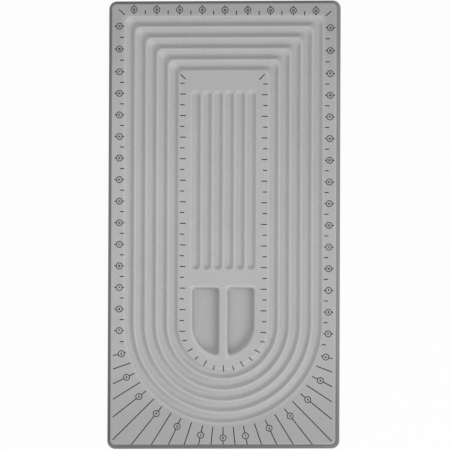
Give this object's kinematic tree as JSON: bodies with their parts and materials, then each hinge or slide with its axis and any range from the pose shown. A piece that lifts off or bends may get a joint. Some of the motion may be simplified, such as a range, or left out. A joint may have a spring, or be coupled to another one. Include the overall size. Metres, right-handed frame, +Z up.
{
  "type": "bead board",
  "caption": "Flat flocked tray for laying out bead strands, with concentric looped channels, straight lanes and shallow bays inside a turned-down rim.",
  "frame": {"origin": "centre of the board's outline, on the plane that its flange and bay floors stand on", "axes": "+X across the board, +Y along it towards the square end, +Z up out of the channels"},
  "size_m": [0.2656, 0.5132, 0.0117],
  "materials": {
    "tray_plastic": "satin formed sheet, grey",
    "flock": "short dense flock fibres, matte grey, printed with a dark scale"
  },
  "bodies": {
    "root": {"formed_tray": "tray_plastic", "flock_coat": "flock"}
  },
  "joints": []
}
